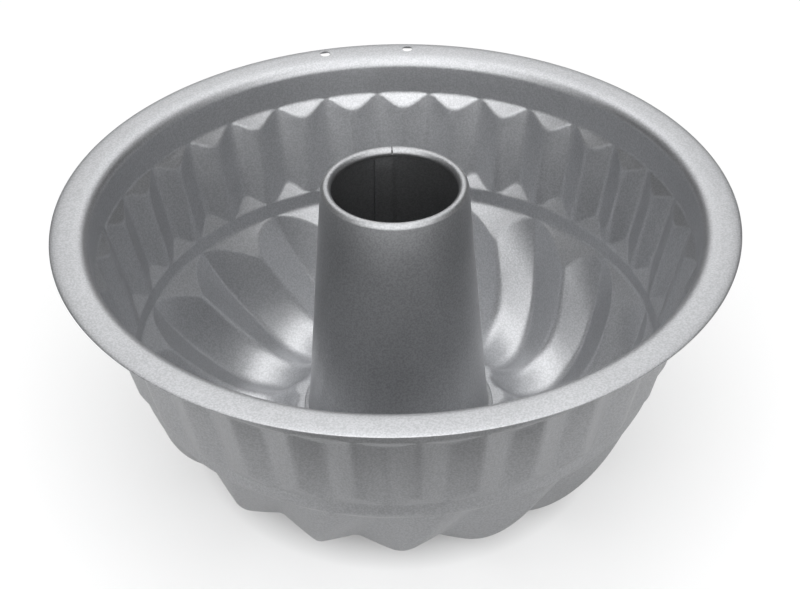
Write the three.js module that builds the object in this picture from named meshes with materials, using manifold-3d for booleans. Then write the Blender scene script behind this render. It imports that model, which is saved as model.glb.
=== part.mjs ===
// A fluted ring-cake pan: one pressed sheet shell and one rolled sheet tube that is locked into its floor.
// Millimetres, +Z up. The origin is on the resting plane, under the middle of the tube.
// Angles are in degrees from +Y (the back), growing towards +X. Radii are measured from the tube's axis.
import * as THREE from 'three';
import { mergeVertices } from 'three/addons/utils/BufferGeometryUtils.js';
import Module from 'manifold-3d';

const SHEET = 0.6;
const GAP = 0.3;

// Rim: a flat flange with two hanging holes. Its outer edge bends down and is folded flat under itself.
const RIM_RADIUS = 125;
const RIM_TOP = 103.7;
const EDGE_START_RADIUS = 120.3;
const EDGE_DROP = 0.6;
const EDGE_TURNS = [30, 55, 75, 90];
const HEM_THICKNESS = 1.4;
const HEM_INNER_RADIUS = 122.7;
const HEM_ROUNDING = 0.8;
const FLANGE_INNER_RADIUS = 115.4;
const SHOULDER_START_TILT = 8;
const SHOULDER_ARCS = [{ radius: 5.5, endTilt: 45 }, { radius: 3.8, endTilt: 85.4 }];
const SHOULDER_STEPS = 2;
const HOLE_DIAMETER = 4.2;
const HOLE_CIRCLE_RADIUS = 120;
const HOLE_ANGLES = [-13.4, 3.0];

// Smooth band between the shoulder and the flutes.
const BAND_BOTTOM = { r: 110.3, z: 88.4 };

// Side wall: grooves are the outermost lines of the zigzag and ridges the innermost.
const FLUTES = 32;
const FLUTE_PHASE = -3.39;
const FLUTE_GROOVE_BOTTOM = { r: 102.7, z: 56.3 };
const FLUTE_RIDGE_TOP = { r: 106.3, z: 84 };
const FLUTE_END_STEP = 1;

// Smooth ring between the flutes and the bottom lobes.
const RING_TOP = { r: 98.9, z: 50.9 };
const RING_BOTTOM = { r: 98.3, z: 44.9 };

// Bottom lobes: each groove runs down from the ring, each ridge from the tip of a small sloping shelf.
const LOBES = 16;
const LOBE_GROOVE_START_SLOPE = 73.1;
const LOBE_GROOVE_START_PULL = 28.6;
const LOBE_GROOVE_LOW = { r: 60, z: SHEET };
const LOBE_GROOVE_LOW_PULL = 14.6;
const LOBE_RIDGE_TOP = { r: 89, z: 35.4 };
const LOBE_RIDGE_START_SLOPE = 61.9;
const LOBE_RIDGE_START_PULL = 17.1;
const LOBE_RIDGE_LOW = { r: 57, z: 5.0 };
const LOBE_RIDGE_LOW_PULL = 17.6;
const LOBE_GROOVE_END = { r: 39.5, z: 12.9 };
const LOBE_GROOVE_END_SLOPE = 53;
const LOBE_RIDGE_END = { r: 42, z: 12.9 };
const LOBE_RIDGE_END_SLOPE = 45;
const LOBE_END_PULLS = { grooveIn: 11, grooveOut: 9.5, ridgeIn: 6, ridgeOut: 5.8 };
const LOBE_STEPS = 4;
const LOBE_ROUNDING = [1, 0.85, 0.57, 0.28, 0];
const LOBE_ROUNDED_RADIUS = 62;
const LOBE_CRISP_RADIUS = 88;
const FOOT_RADII = [57, 65];
const FOOT_HALF_WIDTH_COLUMNS = 1;
const LOBE_ROWS = [85.5, 80, 73, ...FOOT_RADII.slice().reverse(), 50.5, 45.5, 41.5];

// The lobes turn about the axis as they run in from the ring. Grooves and ridges lean a little more or less,
// given as radius and degrees.
const SWIRL_ANGLE = 13.7;
const SWIRL_END_RADIUS = 54;
const SWIRL_POWER = 1.6;
const GROOVE_LEAN = [[98, 0.45], [82, 0.65], [66, 0]];
const RIDGE_LEAN = [[90, -1.4], [80, 0], [75, 0.25], [64, 0]];

// Floor round the tube.
const FLOOR_HEIGHT = 12.3;
const FLOOR_EDGE_RADIUS = 38.6;
const FLOOR_HOLE_RADIUS = 35.3;

// Tube: a cone with a rolled top edge, a lap seam and a bead above and below the floor.
const TUBE_SIDES = 44;
const TUBE_BASE_RADIUS = 35;
const TUBE_TOP_RADIUS = 27.05;
const TUBE_ROLL_HEIGHT = 113.1;
const TUBE_ROLL_RADIUS = 1.95;
const TUBE_ROLL_END = 255;
const TUBE_ROLL_STEPS = 7;
const BEAD_RADIUS = 37;
const BEAD_THICKNESS = 1.2;
const LOCK_RADIUS = 38.2;
const SEAM_EDGE_ANGLE = -16;
const SEAM_JOGGLE_ANGLE = -1.8;
const SEAM_JOGGLE_WIDTH = 3;
const SEAM_EDGE_WIDTH = 0.4;
const SEAM_NOTCH_WIDTH = 0.7;
const SEAM_NOTCH_DEPTH = 0.9;

const COARSE = 2 * FLUTES;
const FINE = 4 * FLUTES;
const radians = THREE.MathUtils.degToRad;

function at(r, angle, z) {
  return new THREE.Vector3(r * Math.sin(radians(angle)), r * Math.cos(radians(angle)), z);
}

// A level ring of points, given the radius, height and extra turn of each column.
function ring(count, column) {
  const points = [];
  for (let j = 0; j < count; j += 1) {
    const { r, z, turn = 0 } = column(j);
    points.push(at(r, FLUTE_PHASE + (j * 360) / count + turn, z));
  }
  return points;
}

function roundRing(point) {
  return ring(COARSE, () => point);
}

// Mixes two points of a profile.
function mix(a, b, share) {
  return { r: a.r + (b.r - a.r) * share, z: a.z + (b.z - a.z) * share };
}

// A point on the straight line through two profile points, at a given height.
function onLine(a, b, z) {
  return mix(a, b, (z - a.z) / (b.z - a.z));
}

// A cubic curve from a start point to an end point with a direction and a pull at each.
function profileCurve(start, startPull, startSlope, end, endPull, endSlope) {
  const leave = new THREE.Vector2(-Math.cos(startSlope), -Math.sin(startSlope)).multiplyScalar(startPull);
  const arrive = new THREE.Vector2(-Math.cos(endSlope), -Math.sin(endSlope)).multiplyScalar(endPull);
  const first = new THREE.Vector2(start.r, start.z);
  const last = new THREE.Vector2(end.r, end.z);
  return new THREE.CubicBezierCurve(first, first.clone().add(leave), last.clone().sub(arrive), last);
}

// Height of a curve whose radius falls all the way, at one radius.
function heightOn(curve, r) {
  let low = 0;
  let high = 1;
  for (let step = 0; step < 40; step += 1) {
    const middle = (low + high) / 2;
    if (curve.getPoint(middle).x > r) low = middle;
    else high = middle;
  }
  return curve.getPoint(low).y;
}

const grooveDown = profileCurve(RING_BOTTOM, LOBE_GROOVE_START_PULL, radians(LOBE_GROOVE_START_SLOPE),
  LOBE_GROOVE_LOW, LOBE_GROOVE_LOW_PULL, 0);
const grooveUp = profileCurve(LOBE_GROOVE_LOW, LOBE_END_PULLS.grooveIn, 0,
  LOBE_GROOVE_END, LOBE_END_PULLS.grooveOut, -radians(LOBE_GROOVE_END_SLOPE));
const ridgeDown = profileCurve(LOBE_RIDGE_TOP, LOBE_RIDGE_START_PULL, radians(LOBE_RIDGE_START_SLOPE),
  LOBE_RIDGE_LOW, LOBE_RIDGE_LOW_PULL, 0);
const ridgeUp = profileCurve(LOBE_RIDGE_LOW, LOBE_END_PULLS.ridgeIn, 0,
  LOBE_RIDGE_END, LOBE_END_PULLS.ridgeOut, -radians(LOBE_RIDGE_END_SLOPE));
const ridgeStartRise = Math.tan(radians(LOBE_RIDGE_START_SLOPE));
const shelfRise = (RING_BOTTOM.z - LOBE_RIDGE_TOP.z) / (RING_BOTTOM.r - LOBE_RIDGE_TOP.r);

function grooveHeight(r) {
  if (r >= LOBE_GROOVE_LOW.r) return heightOn(grooveDown, r);
  return r > LOBE_GROOVE_END.r ? heightOn(grooveUp, r) : LOBE_GROOVE_END.z;
}

function ridgeHeight(r) {
  if (r >= LOBE_RIDGE_TOP.r) return LOBE_RIDGE_TOP.z + (r - LOBE_RIDGE_TOP.r) * ridgeStartRise;
  if (r >= LOBE_RIDGE_LOW.r) return heightOn(ridgeDown, r);
  return r > LOBE_RIDGE_END.r ? heightOn(ridgeUp, r) : LOBE_RIDGE_END.z;
}

function shelfHeight(r) {
  return RING_BOTTOM.z - (RING_BOTTOM.r - r) * shelfRise;
}

function slopeHeight(r, share) {
  return share * grooveHeight(r) + (1 - share) * ridgeHeight(r);
}

// Inner surface of the bottom: share is 1 along a groove and 0 along a ridge.
function bottomHeight(r, share) {
  const limit = r < LOBE_GROOVE_LOW.r ? FLOOR_HEIGHT : shelfHeight(r);
  return Math.min(slopeHeight(r, share), limit);
}

function swirl(r) {
  if (r <= SWIRL_END_RADIUS) return SWIRL_ANGLE;
  const share = (r - SWIRL_END_RADIUS) / (RING_BOTTOM.r - SWIRL_END_RADIUS);
  return SWIRL_ANGLE * (1 - share ** SWIRL_POWER);
}

// Value at one radius from pairs of radius and value that run inwards, level beyond both ends.
function valueAt(pairs, r) {
  const next = pairs.findIndex(([radius]) => radius <= r);
  if (next === 0) return pairs[0][1];
  if (next < 0) return pairs[pairs.length - 1][1];
  const [outer, inner] = [pairs[next - 1], pairs[next]];
  return THREE.MathUtils.mapLinear(r, inner[0], outer[0], inner[1], outer[1]);
}

function turnAt(r, share) {
  return swirl(r) + share * valueAt(GROOVE_LEAN, r) + (1 - share) * valueAt(RIDGE_LEAN, r);
}

// Columns between a lobe's groove and the given column.
function columnsFromGroove(j) {
  const perLobe = FINE / LOBES;
  const grooveColumn = 6;
  const half = perLobe / 2;
  return Math.abs(((j - grooveColumn + half + FINE) % perLobe) - half);
}

// Share of the groove's height in a column: straight sides near the ring and a rounded bottom further in.
function grooveShare(steps, r) {
  const straight = 1 - steps / LOBE_STEPS;
  const outwards = (r - LOBE_ROUNDED_RADIUS) / (LOBE_CRISP_RADIUS - LOBE_ROUNDED_RADIUS);
  const crisp = THREE.MathUtils.clamp(outwards, 0, 1);
  return crisp * straight + (1 - crisp) * LOBE_ROUNDING[steps];
}

// Radius where a lobe's side meets the sloping shelf under the ring.
function creaseRadius(steps) {
  let low = LOBE_RIDGE_TOP.r;
  let high = RING_BOTTOM.r - 1;
  for (let step = 0; step < 30; step += 1) {
    const middle = (low + high) / 2;
    if (slopeHeight(middle, grooveShare(steps, middle)) < shelfHeight(middle)) low = middle;
    else high = middle;
  }
  return low;
}

function bottomRing(radiusOf) {
  return ring(FINE, (j) => {
    const steps = columnsFromGroove(j);
    const r = radiusOf(steps);
    const share = grooveShare(steps, r);
    const onFoot = FOOT_RADII.includes(r) && steps <= FOOT_HALF_WIDTH_COLUMNS;
    return { r, z: onFoot ? SHEET : bottomHeight(r, share), turn: turnAt(r, share) };
  });
}

// Columns between a flute's groove and the given column: 0 on the groove, 2 on the ridge.
function columnsFromFluteGroove(j) {
  const perFlute = FINE / FLUTES;
  return Math.min(j % perFlute, perFlute - (j % perFlute));
}

// A zigzag ring of the side wall, from its groove, halfway and ridge points.
function fluteRing(points) {
  return ring(FINE, (j) => points[columnsFromFluteGroove(j)]);
}

// Triangles between two rings. Each quad is split by its shorter diagonal, or as pick says where it is given.
function stitch(points, triangles, first, second, pick) {
  const n = first.count;
  const m = second.count;
  if (n === m) {
    for (let j = 0; j < n; j += 1) {
      const k = (j + 1) % n;
      const [a, b, c, d] = [first.start + j, first.start + k, second.start + j, second.start + k];
      const shorter = points[a].distanceTo(points[d]) < points[b].distanceTo(points[c]);
      if (pick ? pick(j) : shorter) triangles.push(a, b, d, a, d, c);
      else triangles.push(a, b, c, b, d, c);
    }
    return;
  }
  const [small, large] = n < m ? [first, second] : [second, first];
  const flip = n < m ? 1 : -1;
  const push = (a, b, c) => triangles.push(...(flip > 0 ? [a, b, c] : [a, c, b]));
  for (let j = 0; j < small.count; j += 1) {
    const a = small.start + j;
    const b = small.start + ((j + 1) % small.count);
    const c = large.start + 2 * j;
    const d = large.start + 2 * j + 1;
    const e = large.start + ((2 * j + 2) % large.count);
    push(a, d, c);
    push(a, b, d);
    push(b, e, d);
  }
}

function geometryFrom(points, triangles) {
  const geometry = new THREE.BufferGeometry().setFromPoints(points);
  geometry.setIndex(triangles);
  return geometry;
}

// Six times the volume, negative where the faces point in.
function signedVolume(points, triangles) {
  let sum = 0;
  for (let i = 0; i < triangles.length; i += 3) {
    const [a, b, c] = [points[triangles[i]], points[triangles[i + 1]], points[triangles[i + 2]]];
    sum += a.dot(new THREE.Vector3().crossVectors(b, c));
  }
  return sum;
}

function faceOutwards(points, triangles) {
  if (signedVolume(points, triangles) > 0) return triangles;
  const turned = [];
  for (let i = 0; i < triangles.length; i += 3) turned.push(triangles[i], triangles[i + 2], triangles[i + 1]);
  return turned;
}

// Joins a list of rings into triangles, and back from the last ring to the first where closed is true.
function loft(rings, closed, pickFor) {
  const points = [];
  const spans = [];
  for (const one of rings) {
    spans.push({ start: points.length, count: one.length });
    points.push(...one);
  }
  const triangles = [];
  const last = closed ? rings.length : rings.length - 1;
  for (let i = 0; i < last; i += 1) {
    const pick = pickFor ? pickFor(i) : undefined;
    stitch(points, triangles, spans[i], spans[(i + 1) % rings.length], pick);
  }
  return { points, triangles, spans };
}

// Visible side of the shell, from the floor's hole out to the flat rim.
const shoulder = [{ r: FLANGE_INNER_RADIUS, z: RIM_TOP }];
let tilt = radians(SHOULDER_START_TILT);
for (const { radius, endTilt } of SHOULDER_ARCS) {
  const start = shoulder[shoulder.length - 1];
  const startTilt = tilt;
  for (let step = 1; step <= SHOULDER_STEPS; step += 1) {
    tilt = startTilt + (radians(endTilt) - startTilt) * (step / SHOULDER_STEPS);
    shoulder.push({
      r: start.r - radius * (Math.sin(tilt) - Math.sin(startTilt)),
      z: start.z - radius * (Math.cos(startTilt) - Math.cos(tilt)),
    });
  }
}

const fluteHigh = fluteRing([
  onLine(BAND_BOTTOM, FLUTE_GROOVE_BOTTOM, BAND_BOTTOM.z - FLUTE_END_STEP),
  mix(BAND_BOTTOM, FLUTE_RIDGE_TOP, 0.5),
  FLUTE_RIDGE_TOP,
]);
const fluteLow = fluteRing([
  FLUTE_GROOVE_BOTTOM,
  mix(FLUTE_GROOVE_BOTTOM, RING_TOP, 0.5),
  onLine(FLUTE_RIDGE_TOP, RING_TOP, RING_TOP.z + FLUTE_END_STEP),
]);
const insideRings = [
  bottomRing(() => FLOOR_HOLE_RADIUS),
  bottomRing(() => FLOOR_EDGE_RADIUS),
  ...LOBE_ROWS.slice().reverse().map((r) => bottomRing(() => r)),
  bottomRing(creaseRadius),
  ring(FINE, () => RING_BOTTOM),
  ring(FINE, () => RING_TOP),
  fluteLow,
  fluteHigh,
  ring(FINE, () => BAND_BOTTOM),
  ...shoulder.slice().reverse().map(roundRing),
];
const fluteLowIndex = insideRings.indexOf(fluteLow);
const fluteHighIndex = insideRings.indexOf(fluteHigh);
const creaseIndex = LOBE_ROWS.length + 2;

// Diagonals follow the edges of the sloping triangles at the ends of the flutes and of the lobes.
function insideDiagonal(i) {
  const inwards = (j) => columnsFromFluteGroove(j) < columnsFromFluteGroove((j + 1) % FINE);
  if (i === fluteLowIndex - 1 || i === fluteHighIndex) return (j) => !inwards(j);
  if (i === creaseIndex) return (j) => columnsFromGroove(j) > columnsFromGroove((j + 1) % FINE);
  return undefined;
}

const inside = loft(insideRings, false, insideDiagonal);
const insideGeometry = geometryFrom(inside.points, inside.triangles);
insideGeometry.computeVertexNormals();

// Hidden side of the shell: the visible side moved out by the sheet's thickness, flat under the feet.
const normals = insideGeometry.getAttribute('normal');
const towardsInside = normals.getZ(0) > 0 ? 1 : -1;
const outsideRings = inside.spans.map((span) => {
  const points = [];
  for (let j = 0; j < span.count; j += 1) {
    const normal = new THREE.Vector3().fromBufferAttribute(normals, span.start + j);
    const moved = inside.points[span.start + j].clone().addScaledVector(normal, -SHEET * towardsInside);
    points.push(moved);
  }
  return points;
});
const firstLobeRow = 2;
for (const radius of FOOT_RADII) {
  const row = firstLobeRow + LOBE_ROWS.length - 1 - LOBE_ROWS.indexOf(radius);
  outsideRings[row].forEach((point, j) => {
    if (columnsFromGroove(j) <= FOOT_HALF_WIDTH_COLUMNS) point.copy(insideRings[row][j]).setZ(0);
  });
}
outsideRings[0].forEach((point, j) => point.copy(insideRings[0][j]).setZ(FLOOR_HEIGHT - SHEET));
outsideRings[outsideRings.length - 1].forEach((point) => point.setZ(RIM_TOP - SHEET));

// Outer edge: down over the bend, round the fold, and in along the hem under the flange.
const edgeWidth = RIM_RADIUS - EDGE_START_RADIUS;
const hemUnder = RIM_TOP - HEM_THICKNESS;
const bendArc = EDGE_TURNS.map(radians).map((turn) => ({
  r: EDGE_START_RADIUS + edgeWidth * Math.sin(turn),
  z: RIM_TOP - EDGE_DROP * (1 - Math.cos(turn)),
}));
const edgeProfile = [
  { r: EDGE_START_RADIUS, z: RIM_TOP },
  ...bendArc,
  { r: RIM_RADIUS - 0.3 * HEM_ROUNDING, z: hemUnder + 0.3 * HEM_ROUNDING },
  { r: RIM_RADIUS - HEM_ROUNDING, z: hemUnder },
  { r: HEM_INNER_RADIUS, z: hemUnder },
  { r: HEM_INNER_RADIUS, z: RIM_TOP - SHEET },
];

const shellRings = [
  ...insideRings,
  ...edgeProfile.map(roundRing),
  ...outsideRings.slice().reverse(),
];
const shellDiagonal = (i) => {
  if (i < insideRings.length - 1) return insideDiagonal(i);
  const outsideIndex = shellRings.length - 2 - i;
  if (outsideIndex < 0 || outsideIndex >= insideRings.length - 1) return undefined;
  const pick = insideDiagonal(outsideIndex);
  return pick ? (j) => !pick(j) : undefined;
};
const shell = loft(shellRings, true, shellDiagonal);
const shellGeometry = geometryFrom(shell.points, faceOutwards(shell.points, shell.triangles));

// Boolean cuts.
const wasm = await Module();
wasm.setup();

function solidFrom(geometry) {
  const bare = geometry.clone();
  bare.deleteAttribute('normal');
  bare.deleteAttribute('uv');
  const merged = mergeVertices(bare, 1e-4);
  return new wasm.Manifold(new wasm.Mesh({
    numProp: 3,
    vertProperties: new Float32Array(merged.getAttribute('position').array),
    triVerts: new Uint32Array(merged.getIndex().array),
  }));
}

function geometryOf(solid) {
  const mesh = solid.getMesh();
  const geometry = new THREE.BufferGeometry();
  geometry.setAttribute('position', new THREE.BufferAttribute(new Float32Array(mesh.vertProperties), 3));
  geometry.setIndex(new THREE.BufferAttribute(new Uint32Array(mesh.triVerts), 1));
  geometry.computeVertexNormals();
  return geometry;
}

let shellSolid = solidFrom(shellGeometry);
for (const angle of HOLE_ANGLES) {
  const drill = new THREE.CylinderGeometry(HOLE_DIAMETER / 2, HOLE_DIAMETER / 2, 4 * SHEET, 24);
  drill.rotateX(Math.PI / 2);
  const centre = at(HOLE_CIRCLE_RADIUS, angle, RIM_TOP - SHEET / 2);
  drill.translate(centre.x, centre.y, centre.z);
  shellSolid = shellSolid.subtract(solidFrom(drill));
}

// Tube profile, up the outside, over the rolled edge and down the bore. lap marks the wall that the seam doubles.
const rollCentre = { r: TUBE_TOP_RADIUS - TUBE_ROLL_RADIUS, z: TUBE_ROLL_HEIGHT };
const floorUnder = FLOOR_HEIGHT - SHEET;
const neckTop = FLOOR_HEIGHT + GAP;
const lockTop = floorUnder - GAP;
const lockBottom = lockTop - SHEET;
const wallFoot = { r: TUBE_BASE_RADIUS - 0.15, z: neckTop + BEAD_THICKNESS + 2 };
const rollTurns = [];
for (let step = 0; step <= TUBE_ROLL_STEPS; step += 1) {
  rollTurns.push(radians((step / TUBE_ROLL_STEPS) * TUBE_ROLL_END));
}
const onRoll = (radius, turn) => ({
  r: rollCentre.r + radius * Math.cos(turn),
  z: rollCentre.z + radius * Math.sin(turn),
});
const boreTop = rollCentre.z - TUBE_ROLL_RADIUS - 0.8;
const wallRadius = (z) => onLine(wallFoot, { r: TUBE_TOP_RADIUS, z: TUBE_ROLL_HEIGHT }, z).r;
const tubeProfile = [
  { r: LOCK_RADIUS, z: lockBottom },
  { r: LOCK_RADIUS, z: lockTop },
  { r: TUBE_BASE_RADIUS, z: lockTop },
  { r: TUBE_BASE_RADIUS, z: neckTop },
  { r: BEAD_RADIUS, z: neckTop },
  { r: BEAD_RADIUS, z: neckTop + 0.7 * BEAD_THICKNESS },
  { r: BEAD_RADIUS - 0.5, z: neckTop + BEAD_THICKNESS },
  { r: TUBE_BASE_RADIUS + 0.35, z: neckTop + BEAD_THICKNESS + 0.4 },
  wallFoot,
  ...rollTurns.map((turn) => onRoll(TUBE_ROLL_RADIUS, turn)),
  ...rollTurns.slice().reverse().map((turn) => onRoll(TUBE_ROLL_RADIUS - SHEET, turn)),
  { r: wallRadius(boreTop) - SHEET, z: boreTop, lap: 0 },
  { r: wallRadius(boreTop - 1.5) - SHEET, z: boreTop - 1.5, lap: 1 },
  { r: wallRadius(wallFoot.z + 3) - SHEET, z: wallFoot.z + 3, lap: 1 },
  { r: wallFoot.r - SHEET, z: wallFoot.z, lap: 0 },
  { r: TUBE_BASE_RADIUS - SHEET, z: lockTop },
  { r: TUBE_BASE_RADIUS - 0.4, z: lockBottom },
];

// Share of the second sheet layer at one angle: a sharp free edge on one side and a soft joggle on the other.
function lapShare(angle) {
  if (angle <= SEAM_EDGE_ANGLE || angle >= SEAM_JOGGLE_ANGLE + SEAM_JOGGLE_WIDTH) return 0;
  if (angle < SEAM_EDGE_ANGLE + SEAM_EDGE_WIDTH) return (angle - SEAM_EDGE_ANGLE) / SEAM_EDGE_WIDTH;
  if (angle <= SEAM_JOGGLE_ANGLE) return 1;
  return 1 - (angle - SEAM_JOGGLE_ANGLE) / SEAM_JOGGLE_WIDTH;
}

const seamAngles = [SEAM_EDGE_ANGLE, SEAM_EDGE_ANGLE + SEAM_EDGE_WIDTH, SEAM_JOGGLE_ANGLE,
  SEAM_JOGGLE_ANGLE + SEAM_JOGGLE_WIDTH];
const plainAngles = [];
for (let j = 0; j < TUBE_SIDES; j += 1) plainAngles.push(-180 + (j * 360) / TUBE_SIDES);
const clearOfSeam = (angle) => seamAngles.every((other) => Math.abs(other - angle) > 2);
const tubeAngles = [...plainAngles.filter(clearOfSeam), ...seamAngles].sort((a, b) => a - b);
const tubeRings = tubeProfile.map((point) => tubeAngles.map(
  (angle) => at(point.r - SHEET * (point.lap ?? 0) * lapShare(angle), angle, point.z),
));
const tube = loft(tubeRings, true);
const tubeGeometry = geometryFrom(tube.points, faceOutwards(tube.points, tube.triangles));

// Small notch where the two ends of the rolled edge meet.
const notch = new THREE.BoxGeometry(SEAM_NOTCH_WIDTH, 3 * TUBE_ROLL_RADIUS, 2 * SEAM_NOTCH_DEPTH);
notch.rotateZ(-radians(SEAM_JOGGLE_ANGLE));
const notchCentre = at(rollCentre.r, SEAM_JOGGLE_ANGLE, rollCentre.z + TUBE_ROLL_RADIUS);
notch.translate(notchCentre.x, notchCentre.y, notchCentre.z);
const tubeSolid = solidFrom(tubeGeometry).subtract(solidFrom(notch));

const shellMaterial = new THREE.MeshStandardMaterial({ color: 0xbfc0c3, roughness: 0.42, metalness: 0.9 });
const tubeMaterial = new THREE.MeshStandardMaterial({ color: 0xb1b2b4, roughness: 0.42, metalness: 0.9 });

const panShell = new THREE.Mesh(geometryOf(shellSolid), shellMaterial);
panShell.name = 'pan_shell';
const centreTube = new THREE.Mesh(geometryOf(tubeSolid), tubeMaterial);
centreTube.name = 'centre_tube';

const pan = new THREE.Group();
pan.name = 'fluted_tube_pan';
pan.add(panShell, centreTube);

export default pan;
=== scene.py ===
import math

import bpy
import numpy as np
from mathutils import Matrix, Vector


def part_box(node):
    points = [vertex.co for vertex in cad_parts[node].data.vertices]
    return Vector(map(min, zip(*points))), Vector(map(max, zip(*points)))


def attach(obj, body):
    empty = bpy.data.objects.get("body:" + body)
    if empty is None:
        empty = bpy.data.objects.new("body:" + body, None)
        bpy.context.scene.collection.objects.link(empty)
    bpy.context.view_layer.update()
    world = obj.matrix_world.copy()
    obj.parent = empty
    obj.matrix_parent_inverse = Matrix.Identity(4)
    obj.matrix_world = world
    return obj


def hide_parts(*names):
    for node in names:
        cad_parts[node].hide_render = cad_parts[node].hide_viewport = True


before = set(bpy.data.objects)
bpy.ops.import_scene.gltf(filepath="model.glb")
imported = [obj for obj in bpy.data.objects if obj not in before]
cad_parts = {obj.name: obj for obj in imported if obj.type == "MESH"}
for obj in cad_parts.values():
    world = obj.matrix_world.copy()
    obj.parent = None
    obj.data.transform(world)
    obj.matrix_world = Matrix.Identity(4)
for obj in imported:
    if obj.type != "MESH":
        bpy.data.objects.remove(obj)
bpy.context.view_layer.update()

# Shapes are worked out in millimetres and turned into metres where a mesh is made.
# Angles are in degrees from +Y, growing towards +X, and radii are measured from the tube's axis.
MM = 0.001
SHEET = 0.6

# Rim: flat flange, bent edge and the hem folded under it.
RIM_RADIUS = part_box("pan_shell")[1].x / MM
RIM_TOP = 103.7
EDGE_START_RADIUS = 120.3
EDGE_DROP = 0.6
EDGE_STEPS = 12
HEM_THICKNESS = 1.4
HEM_INNER_RADIUS = 122.7
HEM_ROUNDING = 0.8
HEM_SOFTNESS = 0.15
HEM_STEPS = 6

# Hanging holes, and the drills that cut them.
HOLE_RADIUS = 2.1
HOLE_CIRCLE_RADIUS = 120
HOLE_ANGLES = (-13.4, 3.0)
DRILL_DEPTH = 2.4
DRILL_SIDES = 40

# Shoulder from the flat rim down to the band: radius of each arc and the tilt at its end.
SHOULDER_START_RADIUS = 118.3
SHOULDER_ARCS = ((20.8, 8), (5.5, 45), (3.8, 85.4))
SHOULDER_STEPS = 8

# Profile points of the wall, as radius and height.
BAND_BOTTOM = (110.3, 88.4)
FLUTE_GROOVE_BOTTOM = (102.7, 56.3)
FLUTE_RIDGE_TOP = (106.3, 84.0)
RING_TOP = (98.9, 50.9)
RING_BOTTOM = (98.3, 44.9)
FLUTES = 32
FLUTE_PHASE = -3.39

# Heights between which the sloping ends of the flutes are looked for.
FLUTE_END_STEP = 1.0
LOW_END_LIMIT = 60
HIGH_END_LIMIT = 75

# Share of a flute's side that is rounded along its groove and its ridge, by height.
GROOVE_ROUNDING = ((56, 58, 61, 66), (0.24, 0.20, 0.16, 0.13))
RIDGE_ROUNDING = (
    (51, 55, 60, 66, 74, 79, 82, 84),
    (0.46, 0.36, 0.22, 0.14, 0.15, 0.20, 0.28, 0.40),
)

# Bottom lobes.
LOBES = 16
LOBE_GROOVE_LOW = (60, SHEET)
LOBE_GROOVE_END = (39.5, 12.9)
LOBE_RIDGE_TOP = (89, 35.4)
LOBE_RIDGE_LOW = (57, 5.0)
LOBE_RIDGE_END = (42, 12.9)
LOBE_RIDGE_START_SLOPE = 61.9
SWIRL_ANGLE = 13.7
SWIRL_END_RADIUS = 54
SWIRL_POWER = 1.6
FLOOR_HEIGHT = 12.3
FLOOR_HOLE_RADIUS = 35.3

# Curves along the lobes' grooves and ridges, from outside in.
# Each has a point, a pull and a slope in degrees at its start, and the same at its end.
GROOVE_CURVES = (
    (RING_BOTTOM, 28.6, 73.1, LOBE_GROOVE_LOW, 14.6, 0),
    (LOBE_GROOVE_LOW, 11, 0, LOBE_GROOVE_END, 9.5, -53),
)
RIDGE_CURVES = (
    (LOBE_RIDGE_TOP, 17.1, LOBE_RIDGE_START_SLOPE, LOBE_RIDGE_LOW, 17.6, 0),
    (LOBE_RIDGE_LOW, 6, 0, LOBE_RIDGE_END, 5.8, -45),
)
CURVE_POINTS = 400

# Radii between which the lobes are cut off by the floor, and a margin for the shelf above them.
FLOOR_CREASE_LIMITS = (38.4, 50)
SHELF_MARGIN = 0.5

# By radius: rounded share of a lobe's side along its groove and ridge, and their lean in degrees.
LOBE_GROOVE_ROUNDING = ((45, 65, 80, 95), (0.45, 0.28, 0.11, 0.03))
LOBE_RIDGE_ROUNDING = ((45, 65, 85), (0.40, 0.25, 0.09))
GROOVE_LEAN = ((66, 82, 98), (0, 0.65, 0.45))
RIDGE_LEAN = ((64, 75, 80, 90), (0, 0.25, 0, -1.4))

# Rounding of the bends along a profile, from the floor up, and the most that a bend takes of a stretch.
BENDS = (1.5, 0.9, 1.3, 0.8, 1.2, 1.2, 1.0)
BEND_STEPS = 5
BEND_LIMIT = 0.45

# Tube, with the bead and the flange that hold the floor.
TUBE_BASE_RADIUS = 35
TUBE_TOP_RADIUS = 27.05
TUBE_FOOT_INSET = 0.15
TUBE_FOOT_RISE = 2
TUBE_ROWS = 26
TUBE_ROLL_RADIUS = 1.95
TUBE_ROLL_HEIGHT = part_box("centre_tube")[1].z / MM - TUBE_ROLL_RADIUS
TUBE_ROLL_END = 255
ROLL_OUTER_POINTS = 26
ROLL_INNER_POINTS = 18
BORE_TOP_DROP = 0.8
GAP = 0.3
BEAD_RADIUS = 37
BEAD_THICKNESS = 1.2
BEAD_ROUNDING = 0.6 * BEAD_THICKNESS
BEAD_STEPS = 6
FILLET_WIDTH = 0.35
FILLET_HEIGHT = 0.25
LOCK_RADIUS = 38.2
LOCK_WALL = 0.4

# Lap seam of the tube, with angles and widths in degrees.
SEAM_EDGE_ANGLE = -16
SEAM_EDGE_WIDTH = 0.4
SEAM_GAP_WIDTH = 0.9
SEAM_GAP_SHARES = (1.15, 1, 0.05)
SEAM_GAP_DEPTH = 0.45
SEAM_JOGGLE_ANGLE = -1.8
SEAM_JOGGLE_WIDTH = 3
SEAM_GROOVE_WIDTH = 0.9
SEAM_GROOVE_DEPTH = 0.22
SEAM_GROOVE_ROLL_POINTS = 3
SEAM_CLEARANCE = 0.3
NOTCH_WIDTH = 0.5
NOTCH_DEPTH = 2.0
NOTCH_LENGTH = 3 * TUBE_ROLL_RADIUS

# Steps of the search for creases, and points that measure a stretch.
HALVINGS = 40
LENGTH_POINTS = 30

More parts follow.
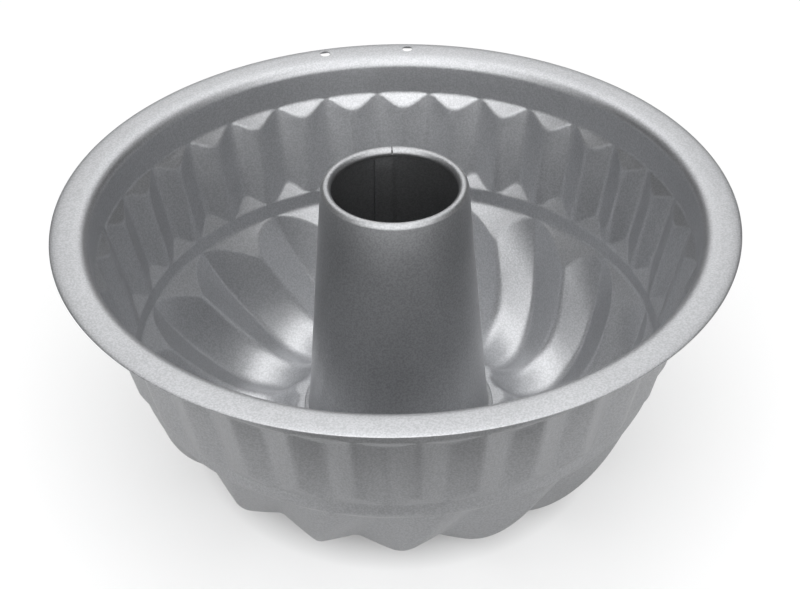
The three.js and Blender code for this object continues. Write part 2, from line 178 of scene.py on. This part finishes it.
# Columns lie closer together along the lines where the wall bends.
HALF_FLUTE_SHARES = (0, 0.05, 0.1, 0.15, 0.25, 0.38, 0.5, 0.62, 0.75, 0.85, 0.9, 0.95)
TUBE_COLUMNS = 192

# Bends sharper than this, in degrees, are shaded as edges.
SHELL_SHARP_ANGLE = 60
TUBE_SHARP_ANGLE = 40


def line_at(a, b, z):
    """Radius at a height on the straight line through two profile points."""
    return a[0] + (b[0] - a[0]) * (z - a[1]) / (b[1] - a[1])


def bezier(start, start_pull, start_slope, end, end_pull, end_slope):
    """Points of a cubic curve that runs inwards, with a slope in degrees and a pull at each end."""
    a = np.array(start, float)
    d = np.array(end, float)
    leave = math.radians(start_slope)
    arrive = math.radians(end_slope)
    b = a - start_pull * np.array([math.cos(leave), math.sin(leave)])
    c = d + end_pull * np.array([math.cos(arrive), math.sin(arrive)])
    t = np.linspace(0, 1, CURVE_POINTS)[:, None]
    return (1 - t) ** 3 * a + 3 * (1 - t) ** 2 * t * b + 3 * (1 - t) * t ** 2 * c + t ** 3 * d


def rounded_rise(u, foot, head):
    """Straight rise from 0 to 1 for u from 0 to 1, rounded over a share at the foot and at the head."""
    total = 1 - foot / 2 - head / 2
    low = u ** 2 / (2 * foot)
    high = total - (1 - u) ** 2 / (2 * head)
    return np.where(u < foot, low, np.where(u > 1 - head, high, u - foot / 2)) / total


def positions(radius, angle, height):
    """Points from radius, angle and height, each an array or a number."""
    radius, angle, height = np.broadcast_arrays(radius, angle, height)
    turn = np.radians(angle)
    return np.stack([radius * np.sin(turn), radius * np.cos(turn), height], axis=-1).astype(float)


def loft_faces(rows, columns):
    """Quads of a grid that closes on itself both ways."""
    i, j = np.meshgrid(np.arange(rows), np.arange(columns), indexing="ij")
    k = (j + 1) % columns
    m = (i + 1) % rows
    corners = [i * columns + j, i * columns + k, m * columns + k, m * columns + j]
    return np.stack(corners, -1).reshape(-1, 4)


def grid_normals(points):
    """Unit normals of a grid that closes on itself along its rows."""
    along = np.roll(points, -1, axis=1) - np.roll(points, 1, axis=1)
    across = np.gradient(points, axis=0)
    normal = np.cross(along, across)
    return normal / np.linalg.norm(normal, axis=-1, keepdims=True)


def signed_volume(points, faces):
    """A number that is positive where the faces of a closed mesh look outwards."""
    a, b, c, d = (points[faces[:, n]] for n in range(4))
    first = np.einsum("ij,ij->i", a, np.cross(b, c))
    second = np.einsum("ij,ij->i", a, np.cross(c, d))
    return float((first + second).sum())


def new_mesh_object(name, grid, sharp_angle):
    """A smooth-shaded object from a closed grid of points in millimetres."""
    rows, columns = grid.shape[:2]
    points = grid.reshape(-1, 3) * MM
    faces = loft_faces(rows, columns)
    if signed_volume(points, faces) < 0:
        faces = faces[:, ::-1]
    mesh = bpy.data.meshes.new(name)
    mesh.from_pydata(points.tolist(), [], faces.tolist())
    mesh.validate()
    mesh.shade_smooth()
    mesh.set_sharp_from_angle(angle=math.radians(sharp_angle))
    made = bpy.data.objects.new(name, mesh)
    bpy.context.scene.collection.objects.link(made)
    return made


def subtract(obj, cutters, sharp_angle):
    """Cuts other objects out of a mesh and removes them."""
    for cutter in cutters:
        cut = obj.modifiers.new("cut", "BOOLEAN")
        cut.operation = "DIFFERENCE"
        cut.solver = "EXACT"
        cut.object = cutter
    graph = bpy.context.evaluated_depsgraph_get()
    result = bpy.data.meshes.new_from_object(obj.evaluated_get(graph))
    obj.modifiers.clear()
    old = obj.data
    obj.data = result
    result.name = old.name + "_mesh"
    bpy.data.meshes.remove(old)
    for cutter in cutters:
        bpy.data.objects.remove(cutter)
    result.shade_smooth()
    result.set_sharp_from_angle(angle=math.radians(sharp_angle))


# Shoulder points from the flat rim inwards and down.
shoulder_points = [(SHOULDER_START_RADIUS, RIM_TOP)]
tilt = 0.0
for arc_radius, end_tilt in SHOULDER_ARCS:
    tilts = np.radians(np.linspace(tilt, end_tilt, SHOULDER_STEPS))
    start_r, start_z = shoulder_points[-1]
    arc_r = start_r - arc_radius * (np.sin(tilts[1:]) - math.sin(tilts[0]))
    arc_z = start_z - arc_radius * (math.cos(tilts[0]) - np.cos(tilts[1:]))
    shoulder_points += list(zip(arc_r, arc_z))
    tilt = end_tilt
band_top = shoulder_points[-1]

# Column positions in half flutes, and how far each column is from a groove, 0, towards a ridge, 1.
half_flutes = np.arange(2 * FLUTES)
half_flutes_per_side = FLUTES // LOBES
column = (half_flutes[:, None] + np.array(HALF_FLUTE_SHARES)).ravel()
column_count = len(column)
column_angle = FLUTE_PHASE + column * 180 / FLUTES
flute_u = np.abs((column + 1) % 2 - 1)
lobe_u = np.abs((column - 1) % (2 * half_flutes_per_side) - half_flutes_per_side) / half_flutes_per_side

# Lowest and highest lines of the bottom lobes.
groove_curve = np.vstack([bezier(*curve) for curve in GROOVE_CURVES])
ridge_curve = np.vstack([bezier(*curve) for curve in RIDGE_CURVES])


def curve_height(curve, r):
    """Height at a radius on a curve that runs inwards."""
    return np.interp(r, curve[::-1, 0], curve[::-1, 1])


def ridge_height(r):
    """Height of a lobe's ridge, carried on straight beyond its top."""
    over = np.maximum(r - LOBE_RIDGE_TOP[0], 0) * math.tan(math.radians(LOBE_RIDGE_START_SLOPE))
    return curve_height(ridge_curve, r) + over


def shelf_height(r):
    """Height of the sloping shelf between the lobes' ridges and the ring."""
    rise = (RING_BOTTOM[1] - LOBE_RIDGE_TOP[1]) / (RING_BOTTOM[0] - LOBE_RIDGE_TOP[0])
    return RING_BOTTOM[1] + rise * (r - RING_BOTTOM[0])


def lobe_rise(r):
    """0 along a groove and 1 along a ridge, both rounded by amounts that depend on the radius."""
    foot = np.interp(r, *LOBE_GROOVE_ROUNDING)
    head = np.interp(r, *LOBE_RIDGE_ROUNDING)
    return rounded_rise(lobe_u, foot, head)


def lobe_side(r):
    """Height of every column at a radius within the lobes."""
    rise = lobe_rise(r)
    return (1 - rise) * curve_height(groove_curve, r) + rise * ridge_height(r)


def lean(r):
    """Small sideways shift of the grooves and ridges, in degrees."""
    return (1 - lobe_u) * np.interp(r, *GROOVE_LEAN) + lobe_u * np.interp(r, *RIDGE_LEAN)


def swirl(r):
    """Turn of the lobes at a radius, in degrees."""
    share = np.clip((r - SWIRL_END_RADIUS) / (RING_BOTTOM[0] - SWIRL_END_RADIUS), 0, 1)
    return SWIRL_ANGLE * (1 - share ** SWIRL_POWER)


def zigzag(z):
    """Radius of the fluted wall without its sloping ends."""
    groove = line_at(BAND_BOTTOM, FLUTE_GROOVE_BOTTOM, z)
    ridge = line_at(RING_TOP, FLUTE_RIDGE_TOP, z)
    rise = rounded_rise(flute_u, np.interp(z, *GROOVE_ROUNDING), np.interp(z, *RIDGE_ROUNDING))
    return groove - (groove - ridge) * rise


def solve(low, high, holds):
    """Value per column up to which a condition holds, found by halving."""
    low = np.full(column_count, low, float)
    high = np.full(column_count, high, float)
    for _ in range(HALVINGS):
        middle = (low + high) / 2
        hit = holds(middle)
        low = np.where(hit, middle, low)
        high = np.where(hit, high, middle)
    return low


# Where the surfaces of every column meet: radii for the lobes and heights for the flutes.
shelf_crease = solve(
    LOBE_RIDGE_TOP[0] - SHELF_MARGIN,
    RING_BOTTOM[0] - SHELF_MARGIN,
    lambda r: lobe_side(r) < shelf_height(r),
)
floor_crease = solve(*FLOOR_CREASE_LIMITS, lambda r: lobe_side(r) > FLOOR_HEIGHT)
low_crease = solve(
    RING_TOP[1] + FLUTE_END_STEP,
    LOW_END_LIMIT,
    lambda z: line_at(RING_TOP, FLUTE_GROOVE_BOTTOM, z) < zigzag(z),
)
high_crease = solve(
    HIGH_END_LIMIT,
    BAND_BOTTOM[1] - FLUTE_END_STEP,
    lambda z: line_at(FLUTE_RIDGE_TOP, BAND_BOTTOM, z) < zigzag(z),
)
none = np.zeros(column_count)
whole = np.ones(column_count)


def straight(a, b):
    """A straight stretch of every column's profile."""
    return lambda t: (a[0] + (b[0] - a[0]) * t + none, a[1] + (b[1] - a[1]) * t + none)


def lobe_stretch(t):
    r = floor_crease + (shelf_crease - floor_crease) * t
    return r, lobe_side(r)


def flute_stretch(t):
    z = low_crease + (high_crease - low_crease) * t
    return zigzag(z), z


def length(stretch):
    """Length of a stretch in every column."""
    r, z = np.array([stretch(t) for t in np.linspace(0, 1, LENGTH_POINTS)]).transpose(1, 0, 2)
    return np.hypot(np.diff(r, axis=0), np.diff(z, axis=0)).sum(0)


# Profile of every column from the floor up: stretches that meet at bends, and the rows in each.
# A stretch is a function of a share from 0 to 1.
shelf_foot = (shelf_crease, lobe_side(shelf_crease))
low_foot = (zigzag(low_crease), low_crease)
high_head = (zigzag(high_crease), high_crease)
stretches = [
    (straight((FLOOR_HOLE_RADIUS, FLOOR_HEIGHT), (floor_crease, FLOOR_HEIGHT)), 4),
    (lobe_stretch, 52),
    (straight(shelf_foot, RING_BOTTOM), 5),
    (straight(RING_BOTTOM, RING_TOP), 4),
    (straight(RING_TOP, low_foot), 4),
    (flute_stretch, 18),
    (straight(high_head, BAND_BOTTOM), 4),
    (straight(BAND_BOTTOM, band_top), 5),
]
lengths = [length(stretch) for stretch, _ in stretches]
cuts = [
    np.minimum(bend, BEND_LIMIT * np.minimum(a, b))
    for bend, a, b in zip(BENDS, lengths, lengths[1:])
]
rows = []
for n, (stretch, steps) in enumerate(stretches):
    first = cuts[n - 1] / lengths[n] if n else none
    last = 1 - cuts[n] / lengths[n] if n < len(cuts) else whole
    for share in np.linspace(0, 1, steps):
        rows.append(stretch(first + (last - first) * share))
    if n == len(cuts):
        break
    end = np.array(stretch(last))
    corner = np.array(stretch(whole))
    begin = np.array(stretches[n + 1][0](cuts[n] / lengths[n + 1]))
    for s in np.linspace(0, 1, BEND_STEPS + 2)[1:-1]:
        rows.append((1 - s) ** 2 * end + 2 * s * (1 - s) * corner + s ** 2 * begin)

profile_r, profile_z = np.array(rows).transpose(1, 0, 2)
lean_share = np.interp(profile_z, (RING_BOTTOM[1], RING_TOP[1]), (1, 0))
lobe_turn = swirl(profile_r) + lean(profile_r) * lean_share
profile_turn = np.where(profile_z < RING_TOP[1], lobe_turn, 0)
pressed = positions(profile_r, column_angle + profile_turn, profile_z)

# Shoulder, and the sheet's hidden side.
shoulder_r, shoulder_z = np.array(shoulder_points[-2::-1]).T[..., None]
inside = np.vstack([pressed, positions(shoulder_r, column_angle, shoulder_z)])
up = grid_normals(inside)
up *= np.sign(up[0, 0, 2])
outside = inside - SHEET * up
outside[0] = inside[0] - (0, 0, SHEET)
outside[-1] = inside[-1] - (0, 0, SHEET)
outside[..., 2] = np.maximum(outside[..., 2], 0)

# Outer edge: down over the bend, round the fold, and in along the hem.
bend_turn = np.radians(np.linspace(0, 90, EDGE_STEPS))
fold_turn = np.radians(np.linspace(0, 90, HEM_STEPS)[1:])
edge_width = RIM_RADIUS - EDGE_START_RADIUS
hem_under = RIM_TOP - HEM_THICKNESS
edge_r = np.concatenate([
    EDGE_START_RADIUS + edge_width * np.sin(bend_turn),
    RIM_RADIUS - HEM_ROUNDING * (1 - np.cos(fold_turn)),
    [HEM_INNER_RADIUS + HEM_SOFTNESS, HEM_INNER_RADIUS, HEM_INNER_RADIUS],
])
edge_z = np.concatenate([
    RIM_TOP - EDGE_DROP * (1 - np.cos(bend_turn)),
    hem_under + (HEM_THICKNESS - EDGE_DROP) * (1 - np.sin(fold_turn)),
    [hem_under, hem_under + HEM_SOFTNESS, RIM_TOP - SHEET],
])
edge = positions(edge_r[:, None], column_angle, edge_z[:, None])
shell_grid = np.vstack([inside, edge, outside[::-1]])
shell = new_mesh_object("pan_shell_sheet", shell_grid, SHELL_SHARP_ANGLE)

# Hanging holes.
drills = []
for hole_angle in HOLE_ANGLES:
    bpy.ops.mesh.primitive_cylinder_add(
        vertices=DRILL_SIDES, radius=HOLE_RADIUS * MM, depth=DRILL_DEPTH * MM)
    drill = bpy.context.object
    drill.location = Vector(positions(HOLE_CIRCLE_RADIUS, hole_angle, RIM_TOP - SHEET / 2) * MM)
    drills.append(drill)
subtract(shell, drills, SHELL_SHARP_ANGLE)

# Tube: up the outside, over the rolled edge and down the bore.
neck_top = FLOOR_HEIGHT + GAP
bead_top = neck_top + BEAD_THICKNESS
lock_top = FLOOR_HEIGHT - SHEET - GAP
lock_bottom = lock_top - SHEET
wall_foot = (TUBE_BASE_RADIUS - TUBE_FOOT_INSET, bead_top + TUBE_FOOT_RISE)
wall_head = (TUBE_TOP_RADIUS, TUBE_ROLL_HEIGHT)
roll_r = TUBE_TOP_RADIUS - TUBE_ROLL_RADIUS
bore_top = TUBE_ROLL_HEIGHT - TUBE_ROLL_RADIUS - BORE_TOP_DROP


def roll(radius, count):
    """Points round the rolled edge, from the outside over the top."""
    turn = np.radians(np.linspace(0, TUBE_ROLL_END, count))
    return [(roll_r + radius * math.cos(t), TUBE_ROLL_HEIGHT + radius * math.sin(t)) for t in turn]


def tube_wall(z):
    """Outer radius of the tube's wall at a height."""
    return line_at(wall_foot, wall_head, z)


def marked(points, lap_share=0, groove_share=0):
    """Profile points with the shares of the seam's lap and outer groove that they take."""
    return [(r, z, lap_share, groove_share) for r, z in points]


bead_r = BEAD_RADIUS - BEAD_ROUNDING
bead_z = bead_top - BEAD_ROUNDING
bead = [
    (bead_r + BEAD_ROUNDING * math.cos(t), bead_z + BEAD_ROUNDING * math.sin(t))
    for t in np.radians(np.linspace(0, 90, BEAD_STEPS))
]
outer_wall = [(tube_wall(z), z) for z in np.linspace(wall_foot[1], TUBE_ROLL_HEIGHT, TUBE_ROWS)[:-1]]
outer_roll = roll(TUBE_ROLL_RADIUS, ROLL_OUTER_POINTS)
inner_roll = roll(TUBE_ROLL_RADIUS - SHEET, ROLL_INNER_POINTS)
bore = [(tube_wall(z) - SHEET, z) for z in np.linspace(bore_top, wall_foot[1], TUBE_ROWS)]
lock_and_neck = [
    (LOCK_RADIUS, lock_bottom),
    (LOCK_RADIUS, lock_top),
    (TUBE_BASE_RADIUS, lock_top),
    (TUBE_BASE_RADIUS, neck_top),
    (BEAD_RADIUS, neck_top),
]
fillet = (TUBE_BASE_RADIUS + FILLET_WIDTH, bead_top + FILLET_HEIGHT)
lock_inside = [
    (TUBE_BASE_RADIUS - SHEET, lock_top),
    (TUBE_BASE_RADIUS - LOCK_WALL, lock_bottom),
]
tube_profile = [
    *marked(lock_and_neck + bead + [fillet]),
    *marked(outer_wall + outer_roll[:SEAM_GROOVE_ROLL_POINTS], groove_share=1),
    *marked(outer_roll[SEAM_GROOVE_ROLL_POINTS:] + inner_roll[::-1] + bore[:1]),
    *marked(bore[1:-1], lap_share=1),
    *marked(bore[-1:] + lock_inside),
]

# Angles where the seam's surface changes: gap, free edge, outer groove and joggle.
gap_angles = SEAM_EDGE_ANGLE - SEAM_GAP_WIDTH * np.array(SEAM_GAP_SHARES)
edge_angles = (SEAM_EDGE_ANGLE, SEAM_EDGE_ANGLE + SEAM_EDGE_WIDTH)
joggle_angles = (SEAM_JOGGLE_ANGLE, SEAM_JOGGLE_ANGLE + SEAM_JOGGLE_WIDTH)
groove_angles = SEAM_JOGGLE_ANGLE + SEAM_GROOVE_WIDTH * np.array([-1, 1])
seam_angles = np.concatenate([gap_angles, edge_angles, joggle_angles, groove_angles])
plain_angles = -180 + np.arange(TUBE_COLUMNS) * 360 / TUBE_COLUMNS
clear = np.all(np.abs(plain_angles[:, None] - seam_angles) > SEAM_CLEARANCE, axis=1)
tube_angle = np.sort(np.concatenate([plain_angles[clear], seam_angles]))

# How far every column stands in from the wall at the lap, in sheets, and at the outer groove, in depths.
gap_depth = -SEAM_GAP_DEPTH / SHEET
lap_angles = (*gap_angles, *edge_angles, *joggle_angles)
lap = np.interp(tube_angle, lap_angles, (0, gap_depth, gap_depth, 0, 1, 1, 0))
groove = np.interp(np.abs(tube_angle - SEAM_JOGGLE_ANGLE), (0, SEAM_GROOVE_WIDTH), (1, 0))
tube_rows = []
for r, z, lap_share, groove_share in tube_profile:
    inset = SHEET * lap_share * lap + SEAM_GROOVE_DEPTH * groove_share * groove
    tube_rows.append(positions(r - inset, tube_angle, z))
tube = new_mesh_object("centre_tube_sheet", np.stack(tube_rows), TUBE_SHARP_ANGLE)

# Small notch where the ends of the rolled edge meet.
bpy.ops.mesh.primitive_cube_add(size=1)
notch = bpy.context.object
notch.scale = (NOTCH_WIDTH * MM, NOTCH_LENGTH * MM, 2 * NOTCH_DEPTH * MM)
notch.rotation_euler = (0, 0, -math.radians(SEAM_JOGGLE_ANGLE))
roll_top = TUBE_ROLL_HEIGHT + TUBE_ROLL_RADIUS
notch.location = Vector(positions(roll_r, SEAM_JOGGLE_ANGLE, roll_top) * MM)
subtract(tube, [notch], TUBE_SHARP_ANGLE)

for piece, node, slot in (
    (shell, "pan_shell", "shell_coating"),
    (tube, "centre_tube", "tube_coating"),
):
    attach(piece, "root")
    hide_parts(node)


# Materials.
class Nodes:
    """Short names for building a node tree."""

    def __init__(self, tree):
        self.tree = tree
        tree.nodes.clear()

    def add(self, kind, **inputs):
        node = self.tree.nodes.new(kind)
        for key, value in inputs.items():
            node.inputs[key.replace("_", " ")].default_value = value
        return node

    def link(self, source, target):
        self.tree.links.new(source, target)


# Darkest and lightest colour of each coating's grain. The tube's tints are a darker copy of the shell's:
# painted shade for the tube, which stands in the pan's shade.
SHELL_TINTS = ((0.395, 0.401, 0.413), (0.506, 0.512, 0.528))
TUBE_SHADED_TINTS = ((0.325, 0.330, 0.339), (0.432, 0.437, 0.448))
GRAIN_RANGE = (0.38, 0.62)


def coated_metal(name, tints):
    """Satin metallic coating with a fine grain and slight clouding."""
    material = bpy.data.materials.new(name)
    material.use_nodes = True
    n = Nodes(material.node_tree)
    out = n.add("ShaderNodeOutputMaterial")
    shader = n.add(
        "ShaderNodeBsdfPrincipled", Metallic=1.0, IOR=1.5, Coat_Weight=0.8, Coat_Roughness=0.32)
    n.link(shader.outputs["BSDF"], out.inputs["Surface"])
    place = n.add("ShaderNodeTexCoord")
    grain = n.add("ShaderNodeTexNoise", Scale=1450, Detail=2, Roughness=0.6)
    cloud = n.add("ShaderNodeTexNoise", Scale=28, Detail=3, Roughness=0.55)
    for texture in (grain, cloud):
        n.link(place.outputs["Object"], texture.inputs["Vector"])
    tint = n.add("ShaderNodeValToRGB")
    for stop, position, colour in zip(tint.color_ramp.elements, GRAIN_RANGE, tints):
        stop.position = position
        stop.color = (*colour, 1)
    n.link(grain.outputs["Fac"], tint.inputs["Fac"])
    n.link(tint.outputs["Color"], shader.inputs["Base Color"])
    gloss = n.add("ShaderNodeMapRange", From_Min=0.3, From_Max=0.7, To_Min=0.44, To_Max=0.52)
    n.link(cloud.outputs["Fac"], gloss.inputs["Value"])
    n.link(gloss.outputs["Result"], shader.inputs["Roughness"])
    bump = n.add("ShaderNodeBump", Strength=0.2, Distance=0.0003)
    n.link(grain.outputs["Fac"], bump.inputs["Height"])
    n.link(bump.outputs["Normal"], shader.inputs["Normal"])
    return material


# The tube's material takes the darker tints, which are painted shade.
for piece, name, tints in ((shell, "satin_shell", SHELL_TINTS), (tube, "satin_tube_painted_shade", TUBE_SHADED_TINTS)):
    piece.data.materials.clear()
    piece.data.materials.append(coated_metal(name, tints))

# Floor. It ends a little in front of the pan, like a table top.
# The front flutes mirror what lies beyond its edge.
FLOOR_SIZE = 12.0
FLOOR_FRONT = 0.134
FLOOR_DROP = 0.0002
FLOOR_GREY = 0.46
FLOOR_GLOW = (("Is Camera Ray", 0.5), ("Is Transmission Ray", 0.5), ("Is Glossy Ray", 0.1))
PAINTED_SHADOW_RADIUS = 0.05
GLOW_RADIUS = 0.08

floor_place = (0, FLOOR_SIZE / 2 - FLOOR_FRONT, -FLOOR_DROP)
bpy.ops.mesh.primitive_plane_add(size=FLOOR_SIZE, location=floor_place)
ground = bpy.context.object
ground.name = "studio_floor"
ground_material = bpy.data.materials.new("studio_floor")
ground_material.use_nodes = True
g = Nodes(ground_material.node_tree)
ground_out = g.add("ShaderNodeOutputMaterial")
paper = g.add("ShaderNodeBsdfDiffuse", Color=(FLOOR_GREY, FLOOR_GREY, FLOOR_GREY, 1))
glow = g.add("ShaderNodeEmission", Color=(1, 1, 1, 1))
both = g.add("ShaderNodeAddShader")
# The glow whitens the floor, less so in reflections.
rays = g.add("ShaderNodeLightPath")
ray_glow = None
for kind, amount in FLOOR_GLOW:
    total = g.add("ShaderNodeMath")
    total.operation = "MULTIPLY_ADD"
    g.link(rays.outputs[kind], total.inputs[0])
    total.inputs[1].default_value = amount
    total.inputs[2].default_value = 0
    if ray_glow:
        g.link(ray_glow, total.inputs[2])
    ray_glow = total.outputs["Value"]
# Painted shadow: the glow fades out towards the pan's middle, so the floor under the pan stays darker.
spot = g.add("ShaderNodeNewGeometry")
reach = g.add("ShaderNodeVectorMath")
reach.operation = "LENGTH"
g.link(spot.outputs["Position"], reach.inputs[0])
painted_shadow_fade = g.add("ShaderNodeMapRange", From_Min=PAINTED_SHADOW_RADIUS, From_Max=GLOW_RADIUS)
g.link(reach.outputs["Value"], painted_shadow_fade.inputs["Value"])
strength = g.add("ShaderNodeMath")
strength.operation = "MULTIPLY"
g.link(ray_glow, strength.inputs[0])
g.link(painted_shadow_fade.outputs["Result"], strength.inputs[1])
g.link(strength.outputs["Value"], glow.inputs["Strength"])
g.link(paper.outputs["BSDF"], both.inputs[0])
g.link(glow.outputs["Emission"], both.inputs[1])
g.link(both.outputs["Shader"], ground_out.inputs["Surface"])
ground.data.materials.append(ground_material)

# World: pale near the horizon and grey above and far below. Levels go by direction, from 0 straight down.
WORLD_LEVELS = ((0.2, 0.1), (0.38, 1.0), (0.5, 1.0), (0.53, 0.08))
world = bpy.data.worlds.new("studio")
world.use_nodes = True
bpy.context.scene.world = world
w = Nodes(world.node_tree)
world_out = w.add("ShaderNodeOutputWorld")
sky = w.add("ShaderNodeBackground")
look = w.add("ShaderNodeTexCoord")
split = w.add("ShaderNodeSeparateXYZ")
w.link(look.outputs["Generated"], split.inputs["Vector"])
lift = w.add("ShaderNodeMapRange", From_Min=-1)
w.link(split.outputs["Z"], lift.inputs["Value"])
fade = w.add("ShaderNodeValToRGB")
while len(fade.color_ramp.elements) < len(WORLD_LEVELS):
    fade.color_ramp.elements.new(0.5)
for stop, (position, level) in zip(fade.color_ramp.elements, WORLD_LEVELS):
    stop.position = position
    stop.color = (level, level, level, 1)
w.link(lift.outputs["Result"], fade.inputs["Fac"])
w.link(fade.outputs["Color"], sky.inputs["Color"])
w.link(sky.outputs["Background"], world_out.inputs["Surface"])

# Lamps that face the pan: azimuth and elevation in degrees, width, height and brightness.
SOFTBOXES = (
    ("front", 180, 31, 3.4, 2.0, 2.1),
    ("overhead", 180, 89, 1.6, 1.6, 2.1),
    ("back", 0, 43, 1.2, 1.2, 1.5),
)
SOFTBOX_DISTANCE = 1.5
PAN_MIDDLE = Vector((0, 0, 0.06))

for name, azimuth, elevation, width, height, radiance in SOFTBOXES:
    lamp = bpy.data.lights.new(name, "AREA")
    lamp.shape = "RECTANGLE"
    lamp.size = width
    lamp.size_y = height
    lamp.energy = radiance * math.pi * width * height
    softbox = bpy.data.objects.new(name, lamp)
    bpy.context.scene.collection.objects.link(softbox)
    turn = math.radians(azimuth)
    rise = math.radians(elevation)
    direction = Vector((math.sin(turn) * math.cos(rise), math.cos(turn) * math.cos(rise), math.sin(rise)))
    softbox.location = PAN_MIDDLE + SOFTBOX_DISTANCE * direction
    softbox.rotation_euler = (-direction).to_track_quat("-Z", "Y").to_euler()
    softbox.visible_camera = False

# Camera.
CAMERA_ELEVATION = 34.087
CAMERA_DISTANCE = 0.6643
CAMERA_AIM = (0, 0, 0.1028)
CAMERA_FOCAL_PIXELS = 1821.4
CAMERA_ROLL = -1.042
CAMERA_PAN = 0.107
CAMERA_TILT = -2.594
IMAGE_WIDTH = 800
SENSOR_WIDTH = 36

camera_rise = math.radians(CAMERA_ELEVATION)
from_aim = Vector((0, -math.cos(camera_rise), math.sin(camera_rise)))
right = Vector((1, 0, 0))
upward = right.cross(-from_aim)
pan_shift = math.tan(math.radians(CAMERA_PAN)) * right
tilt_shift = math.tan(math.radians(CAMERA_TILT)) * upward
forward = (pan_shift + tilt_shift - from_aim).normalized()
right = (right - right.dot(forward) * forward).normalized()
upward = right.cross(forward)
roll_turn = math.radians(CAMERA_ROLL)
right_rolled = math.cos(roll_turn) * right + math.sin(roll_turn) * upward
up_rolled = math.cos(roll_turn) * upward - math.sin(roll_turn) * right
camera_data = bpy.data.cameras.new("camera")
camera_data.sensor_width = SENSOR_WIDTH
camera_data.lens = CAMERA_FOCAL_PIXELS * SENSOR_WIDTH / IMAGE_WIDTH
camera = bpy.data.objects.new("camera", camera_data)
bpy.context.scene.collection.objects.link(camera)
axes = Matrix((right_rolled, up_rolled, -forward)).transposed().to_4x4()
camera.matrix_world = Matrix.Translation(Vector(CAMERA_AIM) + CAMERA_DISTANCE * from_aim) @ axes
bpy.context.scene.camera = camera

bpy.context.scene.view_settings.view_transform = "Standard"
